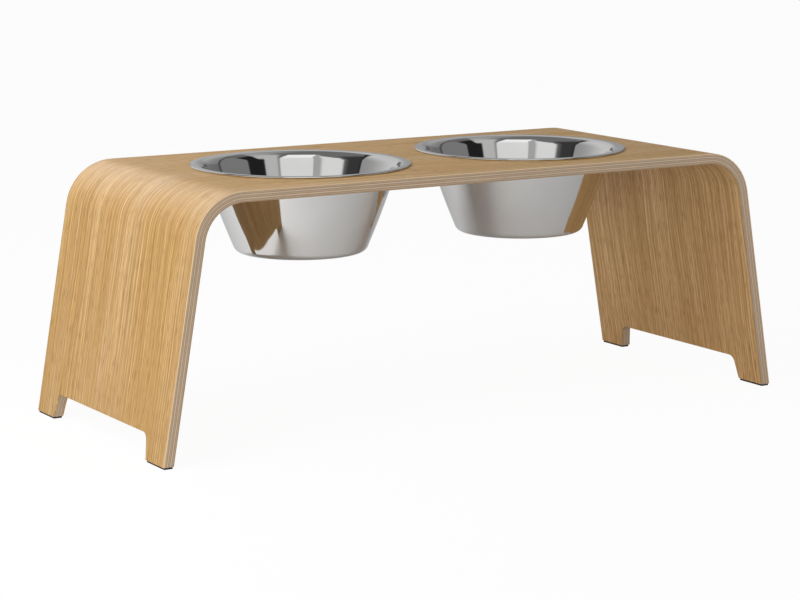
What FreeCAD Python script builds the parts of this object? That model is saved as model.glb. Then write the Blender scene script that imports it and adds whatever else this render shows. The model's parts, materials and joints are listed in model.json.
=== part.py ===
import FreeCAD, Part
import math
import os
from FreeCAD import Vector

# Raised feeding station: a bent plywood stand on four pads carries two steel bowls that lift out.
# Millimetres. +X runs along the stand, -Y is its front and +Z is up. The origin is on the floor, under
# the middle of the stand. Left and right are as seen from the front.

# Bowls: drawn steel, tapered, with a flange whose hemmed edge lies on the stand's top
BOWL_SHEET = 0.8
BOWL_DEPTH = 68.5             # underside of the base below the stand's top
BOWL_WALL_RADIUS = 77.55      # outside of the wall, level with the stand's top
BOWL_TAPER_DEGREES = 20.35    # the wall's lean from upright
BOWL_BASE_CORNER = 7.9        # inside, between wall and base
BOWL_SHOULDER_RADIUS = 8.2    # underside of the bend from wall to flange
BOWL_FLANGE_FLAT = 0.6        # between the shoulder and the hem
BOWL_HEM_WIDTH = 3.0          # the flange's edge, folded back under itself

# Stand: one moulded sheet with a flat top, two bends and two splayed legs
STAND_HEIGHT = 200.0          # floor to the top face
GAP_BETWEEN_RIMS = 33.6
RIM_TO_LONG_EDGE = 26.3       # bowl's rim to the sheet's front and back edges
RIM_TO_BEND = 23.8            # bowl's rim to where the top starts to bend down
BEND_INNER_RADIUS = 31.6
LEG_SPLAY_DEGREES = 9.8       # each leg's lean from upright
HOLE_CLEARANCE = 0.7          # round the bowl's shoulder, level with the stand's top

# Plies of the sheet
FACE_VENEER_THICKNESS = 0.7
CORE_PLY_THICKNESS = 1.4
CORE_PLY_COUNT = 5
EDGE_EASE = 0.45              # rounding of the sheet's long edges, within the face veneers
EDGE_EASE_LIMIT_SHARE = 0.8   # of the face veneer

# Feet: a notch in the lower edge of each leg leaves a foot at each end
FOOT_WIDTH = 30.2             # along the depth, at the bottom of the wood
FOOT_SLANT_DEGREES = 13.5     # lean of the foot's inner edge, which narrows the foot downwards
NOTCH_HEIGHT = 19.1
NOTCH_CORNER_RADIUS = 6.5

# Pads: stuck under the feet, a little smaller than the wood
PAD_THICKNESS = 1.6
PAD_INSET = 0.6
PAD_CORNER_RADIUS = 0.8

# How far a cutting shape runs past what it cuts
OVERRUN = 5.0

# Signs of the two ends along X and of the two edges along Y
SIDES = {"left": -1, "right": 1}
EDGES = {"front": -1, "back": 1}

# Bowl: where the shoulder ends, and the rim
bowl_taper = math.radians(BOWL_TAPER_DEGREES)
flange_underside = BOWL_SHEET
flange_top = 2 * BOWL_SHEET
flange_root_radius = BOWL_WALL_RADIUS + flange_underside * math.tan(bowl_taper)
shoulder_run = BOWL_SHOULDER_RADIUS * math.tan((math.pi / 2 - bowl_taper) / 2)
shoulder_end_radius = flange_root_radius + shoulder_run
rim_radius = shoulder_end_radius + BOWL_FLANGE_FLAT + BOWL_HEM_WIDTH
shoulder_drop = BOWL_SHOULDER_RADIUS - flange_underside
shoulder_width_at_top = math.sqrt(BOWL_SHOULDER_RADIUS ** 2 - shoulder_drop ** 2)
hole_radius = shoulder_end_radius - shoulder_width_at_top + HOLE_CLEARANCE
bowl_offset = rim_radius + GAP_BETWEEN_RIMS / 2

# Stand: the sheet's section and its depth
leg_splay = math.radians(LEG_SPLAY_DEGREES)
foot_slant = math.radians(FOOT_SLANT_DEGREES)
sheet_thickness = 2 * FACE_VENEER_THICKNESS + CORE_PLY_COUNT * CORE_PLY_THICKNESS
bend_radius = BEND_INNER_RADIUS + sheet_thickness
bend_x = bowl_offset + rim_radius + RIM_TO_BEND
bend_z = STAND_HEIGHT - bend_radius
stand_depth = 2 * (rim_radius + RIM_TO_LONG_EDGE)
edge_ease = min(EDGE_EASE, EDGE_EASE_LIMIT_SHARE * FACE_VENEER_THICKNESS)

TOLERANCE = Part.Precision.confusion()


def rounded_face(corners):
    """Flat face inside a closed outline of (point, radius) corners, where radius 0 leaves one sharp.

    An arc touches both sides at radius / tan(half the corner's angle) from the corner.
    """
    points = [point for point, _ in corners]
    arcs = []
    starts = []
    ends = []
    for index, (point, radius) in enumerate(corners):
        towards_last = (points[index - 1] - point).normalize()
        towards_next = (points[(index + 1) % len(points)] - point).normalize()
        half_angle = towards_last.getAngle(towards_next) / 2
        run = radius / math.tan(half_angle)
        starts.append(point + towards_last * run)
        ends.append(point + towards_next * run)
        if radius > 0:
            inwards = (towards_last + towards_next).normalize()
            crown = point + inwards * (radius / math.sin(half_angle) - radius)
            arcs.append(Part.Arc(starts[-1], crown, ends[-1]).toShape())
    lines = []
    for index, end in enumerate(ends):
        next_start = starts[(index + 1) % len(starts)]
        if not end.isEqual(next_start, TOLERANCE):
            lines.append(Part.LineSegment(end, next_start).toShape())
    return Part.Face(Part.Wire(Part.__sortEdges__(arcs + lines)))


def leg_x(depth, height):
    """Distance of a leg's surface from the stand's middle, at a depth inside the sheet's outer face."""
    along_bend_centre = bend_x + (bend_radius - depth) / math.cos(leg_splay)
    return along_bend_centre + (bend_z - height) * math.tan(leg_splay)


def skin_corners(depth):
    """Section of the sheet's surface at a depth inside its outer face, from the left foot to the right."""
    top = STAND_HEIGHT - depth
    bend_corner_radius = bend_radius - depth
    return [
        (Vector(-leg_x(depth, PAD_THICKNESS), 0, PAD_THICKNESS), 0),
        (Vector(-leg_x(depth, top), 0, top), bend_corner_radius),
        (Vector(leg_x(depth, top), 0, top), bend_corner_radius),
        (Vector(leg_x(depth, PAD_THICKNESS), 0, PAD_THICKNESS), 0),
    ]


def bent_sheet(outer_depth, inner_depth):
    """One layer of the stand, uncut, between two depths inside the sheet's outer face."""
    section = rounded_face(skin_corners(outer_depth) + skin_corners(inner_depth)[::-1])
    section.translate(Vector(0, -stand_depth / 2, 0))
    return section.extrude(Vector(0, stand_depth, 0))


def eased(sheet, depth):
    """The layer with its front and back edges rounded, on its surface at a depth inside the outer face.

    The edge along the top is picked by its middle. The rounding follows it round the bends to the feet.
    """
    top = STAND_HEIGHT - depth
    middles = [Vector(0, sign * stand_depth / 2, top) for sign in EDGES.values()]
    long_edges = []
    for edge in sheet.Edges:
        if any(edge.CenterOfMass.isEqual(middle, TOLERANCE) for middle in middles):
            long_edges.append(edge)
    return sheet.makeFillet(edge_ease, long_edges)


def notch_tool():
    """Prism along X that leaves two feet on each leg: widest at the floor, with rounded upper corners."""
    reach = leg_x(0, 0) + OVERRUN
    top = PAD_THICKNESS + NOTCH_HEIGHT
    wood_y = stand_depth / 2 - FOOT_WIDTH
    top_y = wood_y - NOTCH_HEIGHT * math.tan(foot_slant)
    floor_y = wood_y + PAD_THICKNESS * math.tan(foot_slant)
    outline = [
        (Vector(-reach, -floor_y, 0), 0),
        (Vector(-reach, -top_y, top), NOTCH_CORNER_RADIUS),
        (Vector(-reach, top_y, top), NOTCH_CORNER_RADIUS),
        (Vector(-reach, floor_y, 0), 0),
    ]
    return rounded_face(outline).extrude(Vector(2 * reach, 0, 0))


def hole_tool(sign):
    """Cylinder that opens the stand's top for one bowl."""
    bottom = Vector(sign * bowl_offset, 0, STAND_HEIGHT - sheet_thickness - OVERRUN)
    return Part.makeCylinder(hole_radius, sheet_thickness + 2 * OVERRUN, bottom)


def stand_plies():
    """Each layer of the sheet by name, from the outer face inwards, with the holes and notches cut."""
    layers = [("outer_face_veneer", FACE_VENEER_THICKNESS)]
    layers += [(f"core_ply_{count + 1}", CORE_PLY_THICKNESS) for count in range(CORE_PLY_COUNT)]
    layers += [("inner_face_veneer", FACE_VENEER_THICKNESS)]
    tools = [notch_tool()] + [hole_tool(sign) for sign in SIDES.values()]
    plies = {}
    depth = 0
    for name, thickness in layers:
        sheet = bent_sheet(depth, depth + thickness)
        if name == "outer_face_veneer":
            sheet = eased(sheet, depth)
        if name == "inner_face_veneer":
            sheet = eased(sheet, depth + thickness)
        plies[name] = sheet.cut(tools)
        depth += thickness
    return plies


def foot_pad(side_sign, edge_sign):
    """Pad under one foot, set in from the wood all round."""
    outer_x = leg_x(0, PAD_THICKNESS) - PAD_INSET
    inner_x = leg_x(sheet_thickness, PAD_THICKNESS) + PAD_INSET
    outer_y = stand_depth / 2 - PAD_INSET
    inner_y = stand_depth / 2 - FOOT_WIDTH + PAD_INSET
    corners = [(outer_x, outer_y), (inner_x, outer_y), (inner_x, inner_y), (outer_x, inner_y)]
    outline = [(Vector(side_sign * x, edge_sign * y, 0), PAD_CORNER_RADIUS) for x, y in corners]
    return rounded_face(outline).extrude(Vector(0, 0, PAD_THICKNESS))


def bowl_section():
    """Half section of a bowl about its axis, with height 0 level with the stand's top.

    The wall's inner line is the outer one moved in by the sheet's thickness, square to the wall.
    """
    lean = math.tan(bowl_taper)
    wall_width = BOWL_SHEET / math.cos(bowl_taper)
    base = -BOWL_DEPTH
    floor = base + BOWL_SHEET
    base_radius = BOWL_WALL_RADIUS + base * lean
    floor_radius = BOWL_WALL_RADIUS + floor * lean - wall_width
    mouth_radius = BOWL_WALL_RADIUS + flange_top * lean - wall_width
    hem_radius = rim_radius - BOWL_HEM_WIDTH
    return [
        (Vector(0, 0, base), 0),
        (Vector(base_radius, 0, base), BOWL_BASE_CORNER + BOWL_SHEET),
        (Vector(flange_root_radius, 0, flange_underside), BOWL_SHOULDER_RADIUS),
        (Vector(hem_radius, 0, flange_underside), 0),
        (Vector(hem_radius, 0, 0), 0),
        (Vector(rim_radius, 0, 0), BOWL_SHEET),
        (Vector(rim_radius, 0, flange_top), BOWL_SHEET),
        (Vector(mouth_radius, 0, flange_top), BOWL_SHOULDER_RADIUS + BOWL_SHEET),
        (Vector(floor_radius, 0, floor), BOWL_BASE_CORNER),
        (Vector(0, 0, floor), 0),
    ]


def bowl(sign):
    """One bowl, spun from its half section and hung in its hole."""
    spun = rounded_face(bowl_section()).revolve(Vector(0, 0, 0), Vector(0, 0, 1), 360)
    spun.translate(Vector(sign * bowl_offset, 0, STAND_HEIGHT))
    return spun


# All pieces by name, each written to its own file
pieces = stand_plies()
for side_name, side in SIDES.items():
    pieces[f"bowl_{side_name}"] = bowl(side)
    for edge_name, edge in EDGES.items():
        pieces[f"foot_pad_{edge_name}_{side_name}"] = foot_pad(side, edge)

os.makedirs("parts", exist_ok=True)
for name, piece in pieces.items():
    piece.exportStep(f"parts/{name}.step")
    print(f"{name}: {piece.Volume / 1000:.2f} cm3")
print(f"stand {2 * leg_x(0, PAD_THICKNESS):.1f} long at the feet, {stand_depth:.1f} deep, {STAND_HEIGHT:.1f} high")
print(f"bowls {2 * rim_radius:.1f} across, {2 * bowl_offset:.1f} apart, in {2 * hole_radius:.1f} holes")
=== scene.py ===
# %% [markdown]
# A raised feeding station: one sheet of moulded oak plywood, bent down at both ends into splayed legs,
# carries two polished steel bowls that hang by their flanges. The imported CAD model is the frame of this
# lesson. It gives every piece its size and its place, so nothing here is moved or resized. The plies of
# the stand keep their CAD shapes and get finishes. The bowls and the pads are made again, finer. Lengths
# are in metres.

# %% Load the frame
import json
import math

import bpy
import numpy as np
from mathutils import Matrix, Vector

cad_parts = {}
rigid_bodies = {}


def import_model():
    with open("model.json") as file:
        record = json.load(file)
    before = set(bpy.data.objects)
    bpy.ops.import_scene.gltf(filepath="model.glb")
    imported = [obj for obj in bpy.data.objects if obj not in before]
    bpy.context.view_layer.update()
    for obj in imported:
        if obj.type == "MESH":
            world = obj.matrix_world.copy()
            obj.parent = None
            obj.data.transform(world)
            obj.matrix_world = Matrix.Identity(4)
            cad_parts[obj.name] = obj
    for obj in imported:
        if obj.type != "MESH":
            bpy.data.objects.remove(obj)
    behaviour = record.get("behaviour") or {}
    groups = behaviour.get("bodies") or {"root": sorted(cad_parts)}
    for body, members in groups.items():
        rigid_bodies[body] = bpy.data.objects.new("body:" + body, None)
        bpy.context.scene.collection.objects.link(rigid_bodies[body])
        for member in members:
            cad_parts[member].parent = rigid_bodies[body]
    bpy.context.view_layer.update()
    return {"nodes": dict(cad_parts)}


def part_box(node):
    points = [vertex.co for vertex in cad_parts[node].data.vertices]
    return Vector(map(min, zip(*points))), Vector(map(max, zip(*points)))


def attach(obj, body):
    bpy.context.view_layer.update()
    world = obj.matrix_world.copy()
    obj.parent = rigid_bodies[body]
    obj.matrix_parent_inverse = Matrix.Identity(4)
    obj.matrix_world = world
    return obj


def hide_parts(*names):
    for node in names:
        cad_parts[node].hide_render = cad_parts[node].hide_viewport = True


for leftover in list(bpy.data.objects):
    bpy.data.objects.remove(leftover)
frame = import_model()

# %% [markdown]
# Every finish is a network of shader nodes. Written node by node, a formula is hard to read, so one small
# class wraps an output socket and lets Python's own operators add the Math nodes: `1 - mask * 0.5` adds
# two of them. All other nodes come from its method `add`.


# %% Shader maths as Python expressions
class Wire:
    """An output socket of a shader tree that is used like a number: each operator adds one Math node."""

    def __init__(self, tree, socket=None):
        self.tree = tree
        self.socket = socket

    def add(self, kind, settings=None, inputs=None, output=0):
        """Adds a node of a kind. Its settings are set first, then a value or a link for each socket."""
        node = self.tree.nodes.new("ShaderNode" + kind)
        for name, setting in (settings or {}).items():
            if name == "stops":
                set_ramp(node.color_ramp, setting)
            else:
                setattr(node, name, setting)
        for key, value in (inputs or {}).items():
            fill(node.inputs[key], value)
        return Wire(self.tree, node.outputs[output])

    def parts(self):
        """The three parts of a vector."""
        split = self.add("SeparateXYZ", inputs={0: self})
        return [Wire(self.tree, output) for output in split.socket.node.outputs]

    def __add__(self, other):
        return maths("ADD", self, other)

    def __radd__(self, other):
        return maths("ADD", other, self)

    def __sub__(self, other):
        return maths("SUBTRACT", self, other)

    def __rsub__(self, other):
        return maths("SUBTRACT", other, self)

    def __mul__(self, other):
        return maths("MULTIPLY", self, other)

    def __rmul__(self, other):
        return maths("MULTIPLY", other, self)

    def __truediv__(self, other):
        return maths("DIVIDE", self, other)

    def __rtruediv__(self, other):
        return maths("DIVIDE", other, self)

    def __abs__(self):
        return maths("ABSOLUTE", self)

    def limited(self, low, high):
        """The value held between two limits."""
        return maths("MINIMUM", maths("MAXIMUM", self, low), high)

    def step(self, start, end):
        """0 before start, 1 after end, and a smooth rise between them. A start past the end falls."""
        settings = {"interpolation_type": "SMOOTHSTEP"}
        if start < end:
            return self.add("MapRange", settings, {"Value": self, "From Min": start, "From Max": end})
        return 1 - self.step(end, start)


def maths(operation, *terms):
    """A Math node on up to three values, at least one of them a wire."""
    start = next(term for term in terms if isinstance(term, Wire))
    return start.add("Math", {"operation": operation}, dict(enumerate(terms)))


def fill(socket, value):
    """Links a wire to a socket, or sets the socket to a plain value."""
    if isinstance(value, Wire):
        value.tree.links.new(value.socket, socket)
    else:
        socket.default_value = value


print("shader maths ready")

# %% [markdown]
# The finishes share a few more nodes: a vector from three numbers, noise at a place, and the mix of two
# colours. A colour is written as red, green and blue, and `opaque` adds the alpha that Blender wants.


# %% Helpers for finishes
def opaque(colour):
    """A plain colour with an alpha of 1. A wire stays as it is."""
    return colour if isinstance(colour, Wire) else (*colour, 1.0)


def set_ramp(ramp, stops):
    """Puts (place, colour) stops on a colour ramp."""
    while len(ramp.elements) < len(stops):
        ramp.elements.new(1.0)
    for element, (place, colour) in zip(ramp.elements, stops):
        element.position = place
        element.color = opaque(colour)


def vector(x, y, z):
    """Three wires or numbers joined into a vector."""
    start = next(part for part in (x, y, z) if isinstance(part, Wire))
    return start.add("CombineXYZ", inputs={0: x, 1: y, 2: z})


def noise(place, detail=2.0, roughness=0.5):
    """Smooth noise about 0.5 at a place whose parts are already scaled: one lump to a unit."""
    sockets = {"Vector": place, "Scale": 1.0, "Detail": detail, "Roughness": roughness}
    return place.add("TexNoise", inputs=sockets, output="Fac")


def mixed(mask, first, second):
    """The first colour where the mask is 0 and the second where it is 1."""
    sockets = {0: mask, 6: opaque(first), 7: opaque(second)}
    return mask.add("Mix", {"data_type": "RGBA"}, sockets, output=2)


def new_finish(name):
    """A new material, the wire that starts its maths, and its Principled shader."""
    material = bpy.data.materials.new(name)
    material.use_nodes = True
    return material, Wire(material.node_tree), material.node_tree.nodes["Principled BSDF"]


def plug(shader, **sockets):
    """Sets or links sockets of a shader. A socket's name is written with _ for a space."""
    for name, value in sockets.items():
        fill(shader.inputs[name.replace("_", " ")], value)


print("helpers ready")

# %% [markdown]
# The veneer was flat when its grain grew, and then it was bent. So the grain has to be drawn on the flat
# sheet and bent with it: along the top, round the bend and down the leg. A UV map could do that, but the
# CAD plies have none, and unrolling the section takes only a few nodes. Seen from the centre of a bend, a
# point lies at an angle from straight up. That angle is held between 0, where the flat top starts, and the
# angle at which the leg starts. The radius at the held angle then splits the point's offset into a depth
# inside the sheet and a distance along it.

# %% The sheet's section, read from the frame
LEG_SPLAY = math.radians(9.8)
BEND_RADIUS = 0.040
sheet_low, sheet_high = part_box("outer_face_veneer")
top_face = sheet_high.z
half_depth = sheet_high.y
face_veneer = top_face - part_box("core_ply_1")[1].z
core_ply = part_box("core_ply_1")[1].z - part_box("core_ply_2")[1].z
core_plies = sum(name.startswith("core_ply") for name in frame["nodes"])
sheet_thickness = 2 * face_veneer + core_plies * core_ply
bend_z = top_face - BEND_RADIUS
leg_run = (bend_z - sheet_low.z) * math.tan(LEG_SPLAY)
bend_x = sheet_high.x - BEND_RADIUS / math.cos(LEG_SPLAY) - leg_run
bend_angle = math.pi / 2 - LEG_SPLAY
print(f"sheet {sheet_thickness * 1000:.1f} mm thick, bends start {bend_x * 1000:.1f} mm from the middle")


def unrolled(start):
    """Distance along the flat sheet from its middle, distance across it and depth inside its outer face.

    With the angle held between 0 and the bend's whole angle, the depth is the bend's radius less the
    offset along the radius at that angle. The distance is the flat part, the arc and the offset square
    to that radius, with the sign of x.
    """
    x, y, z = start.add("TexCoord", output="Object").parts()
    out = abs(x) - bend_x
    up = z - bend_z
    angle = maths("ARCTAN2", out, up).limited(0.0, bend_angle)
    sine = maths("SINE", angle)
    cosine = maths("COSINE", angle)
    depth = BEND_RADIUS - (out * sine + up * cosine)
    distance = bend_x + BEND_RADIUS * angle + out * cosine - up * sine
    return distance * maths("SIGN", x), y, depth


# %% [markdown]
# Oak veneer, cut on the quarter: straight streaks a millimetre or two wide that run the length of the
# sheet, broad pale and dark bands behind them, and fine dark pores, each a dash a few millimetres long.
# A picture of veneer would repeat and stretch, so all of these are noise on the unrolled sheet, stretched
# along the grain. Between them lie growth lines, pale and dark, at an even spacing that slowly wanders. A
# clear matt lacquer lies over the face. The inner veneer is another leaf: its noise is taken elsewhere, and
# its tint is rosier. At the sheet's long edges, where the veneer is cut, a thin line is painted: pale
# outside, the cut wood's own paler colour with a painted highlight of the edge catching light, and darker
# underneath, which is painted shade.

# %% Oak colours and grain
OAK_DARK = (0.323, 0.174, 0.047)
OAK_MIDDLE = (0.468, 0.284, 0.106)
OAK_PALE = (0.676, 0.463, 0.235)
OAK_PORE = (0.264, 0.142, 0.046)
OAK_GOLDEN = (1.02, 1.00, 0.90)
OAK_ROSY = (0.99, 1.00, 1.10)
OAK_INSIDE = (1.06, 1.04, 1.13)
# Lines at the sheet's long edges: pale cut wood with a painted highlight outside, painted shade underneath
CUT_OUTER_HIGHLIGHT = (0.690, 0.515, 0.325)
CUT_INNER_SHADE = (0.330, 0.235, 0.150)
CUT_REACH = 0.0007
CUT_FULL = 0.0002
LEAF_SHIFT = 9.0
# A layer of the grain: lumps per metre along and across it, seed, detail and roughness
GRAIN = {
    "wander": (5.0, 10.0, 0.0, 2.0, 0.5),
    "bands": (1.2, 30.0, 0.0, 1.0, 0.5),
    "ribbons": (2.2, 110.0, 2.0, 1.0, 0.5),
    "streaks": (5.0, 560.0, 3.0, 2.0, 0.6),
    "fibres": (22.0, 2100.0, 5.0, 2.0, 0.5),
    "pores": (75.0, 1000.0, 7.0, 1.0, 0.5),
    "sway": (2.5, 18.0, 0.0, 2.0, 0.5),
}
# How far the wander shifts the grain, in metres, and how far the sway shifts growth lines, in spacings
WANDER_REACH = 0.014
SWAY_REACH = 4.0
# What the layers weigh in the tone
TONE = {"bands": 0.30, "ribbons": 0.10, "streaks": 1.20, "fibres": 0.35}
# A set of growth lines: spacing, width and seed
PALE_LINES = (0.0083, 0.0013, 11.0)
DARK_LINES = (0.0062, 0.0012, 13.0)
LINE_PATCHES = 12.0


def grain(name, along, across, seed):
    """One layer of the grain: noise on the flat sheet, scaled along and across it."""
    lengthwise, crosswise, own_seed, detail, roughness = GRAIN[name]
    return noise(vector(along * lengthwise, across * crosswise, seed + own_seed), detail, roughness)


def growth_lines(along, across, leaf, spacing, width, seed):
    """1 along lines a spacing apart, 0 off their width.

    A slow noise sways the lines by some spacings, and another noise fades stretches of them.
    """
    sway = grain("sway", along, across, leaf + seed) * SWAY_REACH
    off_line = maths("PINGPONG", across / spacing + sway, 0.5) * spacing
    patches = noise(vector(along * LINE_PATCHES, across / spacing, leaf + seed + 1.0), detail=1.0)
    return off_line.step(width / 2, width / 8) * patches.step(0.42, 0.62)


print("layers of grain", list(GRAIN))


# %% Oak face veneer
def oak_finish():
    """The tone is 0.5 and the weighted layers of noise, with growth lines added and taken away.

    A ramp turns the tone into a colour, a tint follows the bands and the leaf, and pores darken it. The
    cut edge is painted last: pale with a painted highlight outside, painted shade underneath.
    """
    material, start, shader = new_finish("oak_face_veneer")
    along, across, depth = unrolled(start)
    inner = depth.step(0.4 * sheet_thickness, 0.6 * sheet_thickness)
    leaf = inner * LEAF_SHIFT
    # The band at the sheet's long edges that gets the painted highlight and shade
    cut = abs(across).step(half_depth - CUT_REACH, half_depth - CUT_FULL)
    across = across + (grain("wander", along, across, leaf) - 0.5) * WANDER_REACH
    layers = {}
    tone = 0.5
    for name, weight in TONE.items():
        layers[name] = grain(name, along, across, leaf)
        tone = tone + (layers[name] - 0.5) * weight
    pale_lines = growth_lines(along, across, leaf, *PALE_LINES)
    dark_lines = growth_lines(along, across, leaf, *DARK_LINES)
    tone = tone + pale_lines * 0.11 - dark_lines * 0.25
    pores = grain("pores", along, across, leaf).step(0.55, 0.67)
    stops = [(0.18, OAK_DARK), (0.50, OAK_MIDDLE), (0.82, OAK_PALE)]
    wood = tone.add("ValToRGB", {"stops": stops}, {0: tone})
    tint = mixed(layers["bands"].step(0.3, 0.7), OAK_GOLDEN, OAK_ROSY)
    tint = mixed(inner, tint, OAK_INSIDE)
    wood = wood.add("VectorMath", {"operation": "MULTIPLY"}, {0: wood, 1: tint})
    wood = mixed(pores * 0.6, wood, OAK_PORE)
    # The edge line: pale cut wood and a painted highlight on the outer veneer, painted shade on the inner
    # one
    edge_highlight_and_shade = mixed(inner, CUT_OUTER_HIGHLIGHT, CUT_INNER_SHADE)
    height = layers["fibres"] * 0.4 - pores - dark_lines * 0.5
    plug(
        shader,
        Base_Color=mixed(cut * 0.8, wood, edge_highlight_and_shade),
        Roughness=0.45 + (layers["fibres"] - 0.5) * 0.2 + pores * 0.1,
        Specular_IOR_Level=0.20,
        Normal=height.add("Bump", inputs={"Strength": 0.25, "Distance": 0.00006, "Height": height}),
    )
    return material


oak = oak_finish()
print("finish", oak.name)

# %% [markdown]
# The cut edge of plywood shows the plies side by side. In a ply whose grain runs along the sheet the edge
# shows long fibres, and in one whose grain runs across, it shows end grain, which is darker and dotted.
# A thin dark line of glue parts them. The lines could be a striped picture, but the depth inside the sheet
# already says where in its ply a point lies, round the bends too.

# %% Core plies
PLY_ALONG = (0.505, 0.376, 0.255)
PLY_ACROSS = (0.400, 0.290, 0.194)
PLY_GLUE = (0.130, 0.085, 0.052)
GLUE_LINE = 0.00021
CLOUD = 9.0


def ply_finish(name, colour, fibre_length, fibre_width):
    """One ply: fibres as stretched noise, with glue lines where the depth meets the ply's two faces."""
    material, start, shader = new_finish(name)
    along, across, depth = unrolled(start)
    in_ply = maths("PINGPONG", depth - face_veneer, core_ply / 2)
    glue = in_ply.step(GLUE_LINE, 0.3 * GLUE_LINE)
    fibres = noise(vector(along / fibre_length, across / fibre_length, depth / fibre_width))
    clouds = noise(vector(along * CLOUD, across * CLOUD, depth / core_ply), detail=1.0)
    shade = 1 + (fibres - 0.5) * 0.5 + (clouds - 0.5) * 0.3
    wood = shade.add("VectorMath", {"operation": "SCALE"}, {0: colour, "Scale": shade})
    plug(
        shader,
        Base_Color=mixed(glue * 0.9, wood, PLY_GLUE),
        Roughness=0.55 + (fibres - 0.5) * 0.2,
        Normal=fibres.add("Bump", inputs={"Strength": 0.3, "Distance": 0.00008, "Height": fibres - glue}),
    )
    return material


ply_along = ply_finish("core_ply_along", PLY_ALONG, fibre_length=0.012, fibre_width=0.00030)
ply_across = ply_finish("core_ply_across", PLY_ACROSS, fibre_length=0.0012, fibre_width=0.00025)
print("finishes", ply_along.name, ply_across.name)

# %% [markdown]
# In plywood the grain turns by a right angle from ply to ply, which keeps the sheet from warping. The faces
# run along the sheet, so the core plies with odd numbers run across it. The CAD meshes stay as they are,
# and only the material in their slot changes.

# %% Put the wood on the CAD plies
for name, node in frame["nodes"].items():
    if name.endswith("face_veneer"):
        node.material_slots[0].material = oak
    if name.startswith("core_ply"):
        number = int(name.rsplit("_", 1)[1])
        node.material_slots[0].material = ply_across if number % 2 else ply_along
print("wood on", 2 + core_plies, "plies")

# %% [markdown]
# A bowl is drawn from one disc of steel, so it is a surface of revolution: a profile turned about the
# bowl's axis. The steel is a mirror, and a mirror shows every facet, so the profile is sampled closely and
# the turn has many steps. The profile is written as a few corners with a rounding each, because that is how
# the press tool is drawn.

# %% A line with rounded corners
ARC_STEPS = 14
PROFILE_STEP = 0.0012
SAME_PLACE = 1e-7


def unit(arrow):
    """An arrow of the same direction and of length 1."""
    return arrow / np.linalg.norm(arrow)


def step_lengths(line):
    """Distances between neighbouring points of a line."""
    return np.linalg.norm(np.diff(line, axis=0), axis=1)


def rounded_line(corners):
    """Points along an open line of (radius from the axis, height, rounding) corners.

    A rounded corner becomes an arc whose centre lies rounding / sin(half the corner's angle) inwards. More
    points are then put in at even steps along the whole line.
    """
    places = np.array([corner[:2] for corner in corners])
    stretches = [places[:1]]
    for before, corner, after, (_, _, rounding) in zip(places, places[1:], places[2:], corners[1:]):
        back = unit(before - corner)
        ahead = unit(after - corner)
        inwards = unit(back + ahead)
        square = unit(back - inwards * (back @ inwards))
        half = math.acos(np.clip(back @ ahead, -1, 1)) / 2
        reach = math.pi / 2 - half
        turn = np.linspace(-reach, reach, ARC_STEPS if rounding else 1)[:, None]
        centre = corner + inwards * rounding / math.sin(half)
        stretches.append(centre - rounding * (inwards * np.cos(turn) + square * np.sin(turn)))
    line = np.concatenate([*stretches, places[-1:]])
    line = line[np.concatenate([[True], step_lengths(line) > SAME_PLACE])]
    travel = np.concatenate([[0], np.cumsum(step_lengths(line))])
    even = np.linspace(0, travel[-1], int(travel[-1] / PROFILE_STEP))
    stops = np.unique(np.concatenate([travel, even]))
    return np.stack([np.interp(stops, travel, line[:, part]) for part in (0, 1)], axis=1)


print("steps of about", PROFILE_STEP * 1000, "mm")

# %% [markdown]
# The profile goes once round the sheet's section: under the base, up the outside, under the flange, round
# the hem, and back inside. The wall isn't quite straight: low down it leans in by two degrees more, over a
# long soft curve. The eye doesn't see that in the outline, but the mirror shows it, because the leg's
# reflection ends higher up.

# %% The bowls' profile
BOWL_TAPER = math.radians(20.0)
BOWL_LOW_TAPER = math.radians(22.2)
BOWL_WAIST = 0.0245
BOWL_WAIST_ROUNDING = 0.450
BOWL_SHEET = 0.0008
BOWL_BASE_CORNER = 0.0061
BOWL_SHOULDER = 0.0082
BOWL_HEM = 0.003
BOWL_FLANGE_FLAT = 0.0006


def bowl_profile(node):
    """Half section of a bowl, from the middle of its underside round to the middle of its floor.

    The wall starts where the shoulder's arc leaves the flange. Its radius falls by tan(taper) times the
    depth, and below the waist by tan(low taper). The inside lies one sheet thickness square to it.
    """
    low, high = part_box(node)
    rim = (high.x - low.x) / 2
    hem = rim - BOWL_HEM
    under = top_face + BOWL_SHEET
    floor = low.z + BOWL_SHEET
    lean = math.tan(BOWL_TAPER)
    low_lean = math.tan(BOWL_LOW_TAPER)
    wall = BOWL_SHEET / math.cos(BOWL_TAPER)
    low_wall = BOWL_SHEET / math.cos(BOWL_LOW_TAPER)
    root = hem - BOWL_FLANGE_FLAT - BOWL_SHOULDER * math.tan((math.pi / 2 - BOWL_TAPER) / 2)
    waist_z = low.z + BOWL_WAIST
    waist = root - (under - waist_z) * lean
    base = waist - BOWL_WAIST * low_lean
    return rounded_line([
        (0, low.z, 0),
        (base, low.z, BOWL_BASE_CORNER + BOWL_SHEET),
        (waist, waist_z, BOWL_WAIST_ROUNDING),
        (root, under, BOWL_SHOULDER),
        (hem, under, 0),
        (hem, top_face, BOWL_SHEET / 2),
        (rim, top_face, BOWL_SHEET),
        (rim, high.z, BOWL_SHEET),
        (root + BOWL_SHEET * lean - wall, high.z, BOWL_SHOULDER + BOWL_SHEET),
        (waist - wall, waist_z, BOWL_WAIST_ROUNDING),
        (base + BOWL_SHEET * low_lean - low_wall, floor, BOWL_BASE_CORNER),
        (0, floor, 0),
    ])


print("profile of", len(bowl_profile("bowl_left")), "points")

# %% [markdown]
# Blender's Spin tool could turn the profile. Worked out as arrays, the rings come out the same each time,
# and the two ends of the profile become poles that close the surface.

# %% Bowls
SIDES = ("left", "right")
TURN_STEPS = 240


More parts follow.
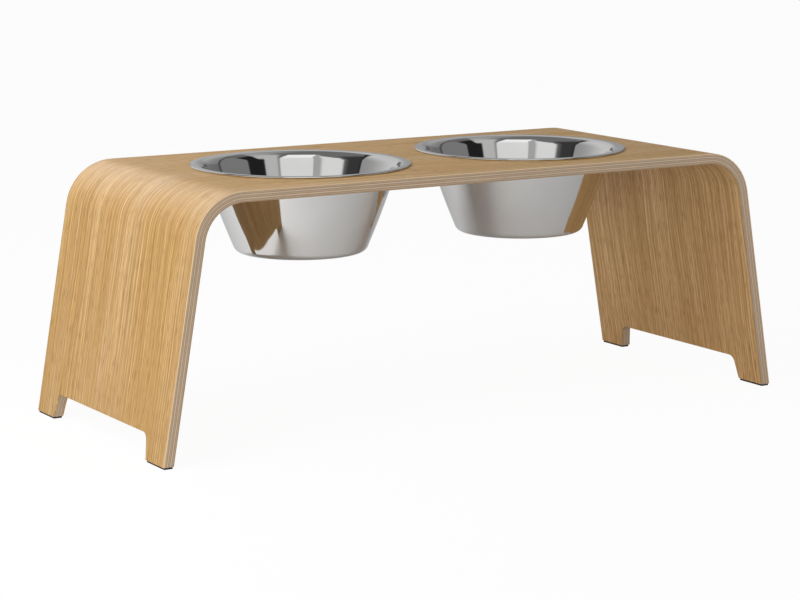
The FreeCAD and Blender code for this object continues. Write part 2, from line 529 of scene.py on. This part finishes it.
def new_piece(name, points, faces):
    """A mesh object made of points and faces. It sits at the origin, with its place in its mesh."""
    mesh = bpy.data.meshes.new(name)
    mesh.from_pydata(points.tolist(), [], faces)
    piece = bpy.data.objects.new(name, mesh)
    bpy.context.scene.collection.objects.link(piece)
    return piece


def ring_walls(rings, count):
    """Faces between neighbouring rings: each joins two points of a ring and the same two of the next one."""
    row, column = np.meshgrid(np.arange(rings - 1), np.arange(count), indexing="ij")
    here = (row * count + column).ravel()
    beside = (row * count + (column + 1) % count).ravel()
    return np.stack([here, beside, beside + count, here + count], axis=1).tolist()


def turned(name, profile, centre_x):
    """A closed surface of revolution: a profile point becomes the ring (radius cos, radius sin, height)."""
    rings = profile[1:-1]
    angle = np.linspace(0, 2 * math.pi, TURN_STEPS, endpoint=False)
    x = centre_x + rings[:, :1] * np.cos(angle)
    y = rings[:, :1] * np.sin(angle)
    z = np.repeat(rings[:, 1:], TURN_STEPS, axis=1)
    poles = [(centre_x, 0, profile[0, 1]), (centre_x, 0, profile[-1, 1])]
    points = np.concatenate([np.stack([x, y, z], axis=2).reshape(-1, 3), poles])
    first = np.arange(TURN_STEPS)
    last = first + (len(rings) - 1) * TURN_STEPS
    under = np.stack([np.roll(first, -1), first, np.full(TURN_STEPS, len(points) - 2)], axis=1)
    inside = np.stack([last, np.roll(last, -1), np.full(TURN_STEPS, len(points) - 1)], axis=1)
    faces = ring_walls(len(rings), TURN_STEPS) + under.tolist() + inside.tolist()
    piece = new_piece(name, points, faces)
    piece.data.shade_smooth()
    return piece


bowls = {}
for side in SIDES:
    node = f"bowl_{side}"
    low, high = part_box(node)
    bowls[side] = turned(f"{side}_bowl", bowl_profile(node), (low.x + high.x) / 2)
    print(bowls[side].name, len(bowls[side].data.polygons), "faces")

# %% [markdown]
# Polished stainless steel: a grey mirror, a little warm, with the faint rings of the polishing wheel. The
# rings lie round the bowl's axis. Both bowls share the finish, because the axis is as far from the middle
# on either side.

# %% Polished steel
STEEL_DULL = (0.705, 0.705, 0.699)
STEEL_BRIGHT = (0.735, 0.735, 0.729)
POLISH_RINGS = 2600.0
SMEARS = 30.0
bowl_low, bowl_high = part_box("bowl_right")
bowl_offset = abs(bowl_low.x + bowl_high.x) / 2


def steel_finish():
    """A mirror whose roughness and bump follow fine noise in the distance from the bowl's axis."""
    material, start, shader = new_finish("polished_steel")
    x, y, z = start.add("TexCoord", output="Object").parts()
    out = abs(x) - bowl_offset
    radius = maths("SQRT", out * out + y * y)
    rings = noise(vector(radius * POLISH_RINGS, z * POLISH_RINGS, 0.0))
    smears = noise(vector(out * SMEARS, y * SMEARS, z * SMEARS), detail=3.0)
    plug(
        shader,
        Base_Color=mixed(smears.step(0.3, 0.7), STEEL_DULL, STEEL_BRIGHT),
        Metallic=1.0,
        Roughness=0.05 + (smears - 0.5) * 0.04 + (rings - 0.5) * 0.02,
        Normal=rings.add("Bump", inputs={"Strength": 0.05, "Distance": 0.00002, "Height": rings}),
    )
    return material


steel = steel_finish()
for side, piece in bowls.items():
    piece.data.materials.append(steel)
    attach(piece, f"{side}_bowl")
    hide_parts(f"bowl_{side}")
print("finish", steel.name)

# %% [markdown]
# The pads are die-cut from a thin dark sheet. Each is a flat slab with rounded corners and softened edges:
# a rounded rectangle whose outline draws in a little at the top and at the bottom. A box with a Bevel
# modifier would be close, but its corners and its edges would get the same rounding.

# %% Foot pads
EDGES = ("front", "back")
PAD_CORNER = 0.0008
PAD_CORNER_STEPS = 8
PAD_SOFTENING = 0.0002
PAD_SOFTENING_STEPS = 5


def rounded_rectangle(half_x, half_y, corner):
    """Outline of a rectangle whose corners are quarter circles, anticlockwise."""
    turn = np.linspace(0, math.pi / 2, PAD_CORNER_STEPS)
    quarters = []
    for quarter, (sign_x, sign_y) in enumerate([(1, 1), (-1, 1), (-1, -1), (1, -1)]):
        angle = turn + quarter * math.pi / 2
        centre = np.array([sign_x * (half_x - corner), sign_y * (half_y - corner)])
        quarters.append(centre + corner * np.stack([np.cos(angle), np.sin(angle)], axis=1))
    return np.concatenate(quarters)


def soft_slab(name, low, high):
    """A slab with softened edges, as rings of points from its lower face to its upper one.

    Over a quarter turn the lower edge is drawn in by 1 - sin and lies 1 - cos up, times the softening. The
    upper edge is drawn in by 1 - cos and lies 1 - sin down.
    """
    middle = np.array([(low.x + high.x) / 2, (low.y + high.y) / 2])
    turn = np.linspace(0, math.pi / 2, PAD_SOFTENING_STEPS)
    inset = PAD_SOFTENING * np.concatenate([1 - np.sin(turn), 1 - np.cos(turn)])
    low_edge = low.z + PAD_SOFTENING * (1 - np.cos(turn))
    high_edge = high.z - PAD_SOFTENING * (1 - np.sin(turn))
    rings = []
    for draw, level in zip(inset, np.concatenate([low_edge, high_edge])):
        half_x = (high.x - low.x) / 2 - draw
        half_y = (high.y - low.y) / 2 - draw
        outline = middle + rounded_rectangle(half_x, half_y, PAD_CORNER - draw)
        rings.append(np.column_stack([outline, np.full(len(outline), level)]))
    count = len(rings[0])
    under = np.arange(count)[::-1]
    over = np.arange(count) + (len(rings) - 1) * count
    faces = ring_walls(len(rings), count) + [under.tolist(), over.tolist()]
    return new_piece(name, np.concatenate(rings), faces)


print("pad edges in", PAD_SOFTENING_STEPS, "steps")

# %% [markdown]
# The pads' rubber is nearly black and dull. Its fine grain is noise that is the same in all directions.

# %% Rubber, and the four pads
RUBBER_DARK = (0.008, 0.007, 0.006)
RUBBER_PALE = (0.022, 0.019, 0.016)
RUBBER_GRAIN = 2500.0


def pad_finish():
    """Dark rubber, with a fine even grain."""
    material, start, shader = new_finish("foot_pad")
    place = start.add("TexCoord", output="Object")
    scaled = place.add("VectorMath", {"operation": "SCALE"}, {0: place, "Scale": RUBBER_GRAIN})
    grain = noise(scaled)
    stops = [(0.3, RUBBER_DARK), (0.7, RUBBER_PALE)]
    plug(
        shader,
        Base_Color=grain.add("ValToRGB", {"stops": stops}, {0: grain}),
        Roughness=0.75 + (grain - 0.5) * 0.2,
        Normal=grain.add("Bump", inputs={"Strength": 0.4, "Distance": 0.0001, "Height": grain}),
    )
    return material


rubber = pad_finish()
for side in SIDES:
    for edge in EDGES:
        node = f"foot_pad_{edge}_{side}"
        pad = soft_slab(f"{edge}_{side}_pad", *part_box(node))
        pad.data.materials.append(rubber)
        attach(pad, "stand")
        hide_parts(node)
print("pads", len(SIDES) * len(EDGES))

# %% [markdown]
# The studio has a wide pale floor. The bowls mirror it as it is lit, with the stand's soft shadow on it. To
# the camera itself the floor is nearly white all over, as on a light table, so the shadow stays faint.

# %% Floor
FLOOR_HALF = 12.0
FLOOR_PALE = (0.90, 0.90, 0.90)
FLOOR_GLOW = 0.95
WHITE = (1.0, 1.0, 1.0)


def floor_finish():
    """A dull pale surface. To the camera, a fixed share of it is plain white light."""
    material, start, shader = new_finish("pale_floor")
    plug(shader, Base_Color=opaque(FLOOR_PALE), Roughness=0.9, Specular_IOR_Level=0.0)
    lit = Wire(material.node_tree, shader.outputs[0])
    glow = start.add("Emission", inputs={"Color": opaque(WHITE), "Strength": 1.0})
    seen = start.add("LightPath", output="Is Camera Ray")
    surface = start.add("MixShader", inputs={0: seen * FLOOR_GLOW, 1: lit, 2: glow})
    plug(material.node_tree.nodes["Material Output"], Surface=surface)
    return material


floor_corners = FLOOR_HALF * np.array([(-1, -1, 0), (1, -1, 0), (1, 1, 0), (-1, 1, 0)])
floor = new_piece("floor", floor_corners, [(0, 1, 2, 3)])
floor.data.materials.append(floor_finish())
print("floor", 2 * FLOOR_HALF, "m wide")

# %% [markdown]
# Polished steel shows whatever stands round it, so the grey dome over the studio is painted by direction. A
# picture of a studio could be wrapped round the scene, but painted panels can be placed one by one. A panel
# is a product of smooth steps in azimuth and elevation, or a round disc about a direction, and later ones
# lie over earlier ones. Azimuth 0 is the front, and the left is negative. The camera sees plain white.

# %% Directions on the dome
DEGREES = 180 / math.pi
world = bpy.data.worlds.new("studio")
bpy.context.scene.world = world
world.use_nodes = True
direction = Wire(world.node_tree).add("TexCoord", output="Generated")
east, north, up = direction.parts()
azimuth = maths("ARCTAN2", east, 0.0 - north) * DEGREES
elevation = maths("ARCSINE", up) * DEGREES


def towards(turn, lift):
    """The direction at an azimuth from the front and an elevation, both in degrees."""
    turn = math.radians(turn)
    lift = math.radians(lift)
    return (math.sin(turn) * math.cos(lift), -math.cos(turn) * math.cos(lift), math.sin(lift))


def disc(centre, radius, softness):
    """1 within a radius of a direction, in degrees: the angle is the arc cosine of the dot product."""
    sockets = {0: direction, 1: towards(*centre)}
    aim = direction.add("VectorMath", {"operation": "DOT_PRODUCT"}, sockets, output="Value")
    return (maths("ARCCOSINE", aim) * DEGREES).step(radius + softness, radius)


def painted(light, mask, strength):
    """The light with a panel of a strength laid over it."""
    return light + mask * (strength - light)


print("dome", world.name)

# %% [markdown]
# The panels, in the order in which they are laid on: a dark wall on the left, a wide screen on the right, a
# screen behind on the right, a silver screen behind on the left, and bright panels in front on the left. A
# screen is made of discs about one direction: a dark one, and a smaller, lighter one in it, so that it has a
# dark frame. The wide screen has a pale rim round its frame. Angles are in degrees.

# %% Dome
DOME_STRENGTH = 0.8125
RIGHT_SCREEN = (85, -10)
BACK_SCREEN = (142, -4)
SILVER_SCREEN = (-160, -5)
light = 0.23 + elevation.step(62, 46) * 0.04
dark_wall = azimuth.step(-164, -150) * azimuth.step(-84, -98) * elevation.step(60, 46)
light = painted(light, dark_wall, 0.06)
wide_screen = disc(RIGHT_SCREEN, 88, 5) * elevation.step(80, 64) * azimuth.step(160, 120)
light = painted(light, wide_screen, 0.73 - azimuth.step(30, 110) * 0.21)
frame_shade = 0.022 + azimuth.step(62, 100) * 0.21
frame_end = azimuth.step(140, 110)
light = painted(light, disc(RIGHT_SCREEN, 73.5, 2.5) * elevation.step(38, 30) * frame_end, frame_shade)
light = painted(light, disc(RIGHT_SCREEN, 67.5, 2.5) * frame_end, frame_shade)
light = painted(light, disc(RIGHT_SCREEN, 53.5, 2), 0.29)
light = painted(light, disc(BACK_SCREEN, 55, 2) * azimuth.step(150, 115), 0.12)
back_light = 0.34 + azimuth.step(105, 180) * 0.52
back_light = back_light * (1 - elevation.step(22, 12) * azimuth.step(161, 148) * 0.32)
light = painted(light, disc(BACK_SCREEN, 49, 4), back_light)
dark_spots = disc((130, 7), 4, 5) + disc((161, 7), 3, 4)
light = painted(light, dark_spots, 0.16)
light = painted(light, disc(SILVER_SCREEN, 54.5, 1.5) * azimuth.step(60, 0), 0.04)
silver = disc(SILVER_SCREEN, 51, 2)
light = painted(light, silver * azimuth.step(10, 0), 0.46 + azimuth.step(-118, -175) * 0.40)
light = painted(light, silver * azimuth.step(0, 10) * elevation.step(14, 24), back_light)
leaning = azimuth - elevation * 0.80
leaning_panel = leaning.step(-113, -109) * azimuth.step(-54, -57) * elevation.step(62, 52)
light = painted(light, leaning_panel, 1.08)
curved = azimuth + elevation.step(45, 75) * 18
grey_bar = curved.step(-61, -55) * curved.step(-44, -49) * elevation.step(78, 70)
light = painted(light, grey_bar, 0.58)
tall_panel = curved.step(-48, -46) * azimuth.step(0, -3) * elevation.step(74, 66)
light = painted(light, tall_panel, 1.05 + elevation.step(28, 52) * 0.38)
seen = direction.add("LightPath", output="Is Camera Ray")
background = world.node_tree.nodes["Background"]
plug(background, Color=opaque(WHITE), Strength=painted(light * DOME_STRENGTH, seen, 1.0))
print("dome painted with", len(world.node_tree.nodes), "nodes")

# %% [markdown]
# The wood needs its own light: a key lamp on the left, a back lamp whose sheen lies on the left bend, a low
# lamp that reaches under the top, and a right lamp for the left leg's inner face. They skip the bowls, which
# would mirror the lamps as bright squares, and the floor, which has a lamp of its own. Light linking says
# which objects a lamp lights.

# %% Lamps
LAMP_AIM = np.array([0.0, 0.0, 0.12])
# A lamp: azimuth and elevation in degrees, distance from the aim, size, and power in watts
LAMPS = {
    "key_lamp": (-95, 42.5, 0.85, 0.8, 3.85),
    "back_lamp": (-167, 33, 1.2, 0.8, 4.4),
    "low_lamp": (-45, 6, 1.6, 0.5, 6.3),
    "right_lamp": (55, 12, 1.5, 0.8, 5.0),
    "floor_lamp": (-85, 30, 1.0, 0.8, 8.1),
}
floor_only = bpy.data.collections.new("floor_only")
floor_only.objects.link(floor)
wood_only = bpy.data.collections.new("all_but_bowls_and_floor")
for skipped in [floor, *bowls.values()]:
    wood_only.objects.link(skipped)
for member in wood_only.collection_objects:
    member.light_linking.link_state = "EXCLUDE"
for name, (turn, lift, distance, size, power) in LAMPS.items():
    lamp_data = bpy.data.lights.new(name, "AREA")
    lamp_data.shape = "SQUARE"
    lamp_data.size = size
    lamp_data.energy = power
    lamp = bpy.data.objects.new(name, lamp_data)
    lamp.location = LAMP_AIM + distance * np.array(towards(turn, lift))
    lamp.rotation_euler = (math.radians(90 - lift), 0, math.radians(turn))
    lamp.light_linking.receiver_collection = floor_only if name == "floor_lamp" else wood_only
    bpy.context.scene.collection.objects.link(lamp)
    print(name, "at", [round(part, 3) for part in lamp.location])

# %% [markdown]
# The camera stands in front and to the left, a little above the stand, with a long lens. Azimuth turns it
# about its target and elevation lifts it, so the view can be set as two angles and a distance.

# %% Camera
CAMERA_AZIMUTH = -31.455
CAMERA_ELEVATION = 10.2035
CAMERA_DISTANCE = 2.0861
CAMERA_TARGET = np.array([-0.00206, 0.01633, 0.07965])
CAMERA_LENS = 114.336
CAMERA_SENSOR = 36.0
camera_data = bpy.data.cameras.new("camera")
camera_data.lens = CAMERA_LENS
camera_data.sensor_width = CAMERA_SENSOR
camera = bpy.data.objects.new("camera", camera_data)
to_camera = np.array(towards(CAMERA_AZIMUTH, CAMERA_ELEVATION))
camera.location = CAMERA_TARGET + to_camera * CAMERA_DISTANCE
camera.rotation_euler = (math.radians(90 - CAMERA_ELEVATION), 0, math.radians(CAMERA_AZIMUTH))
bpy.context.scene.collection.objects.link(camera)
bpy.context.scene.camera = camera
bpy.context.scene.view_settings.view_transform = "Standard"
print("camera at", [round(part, 3) for part in camera.location])
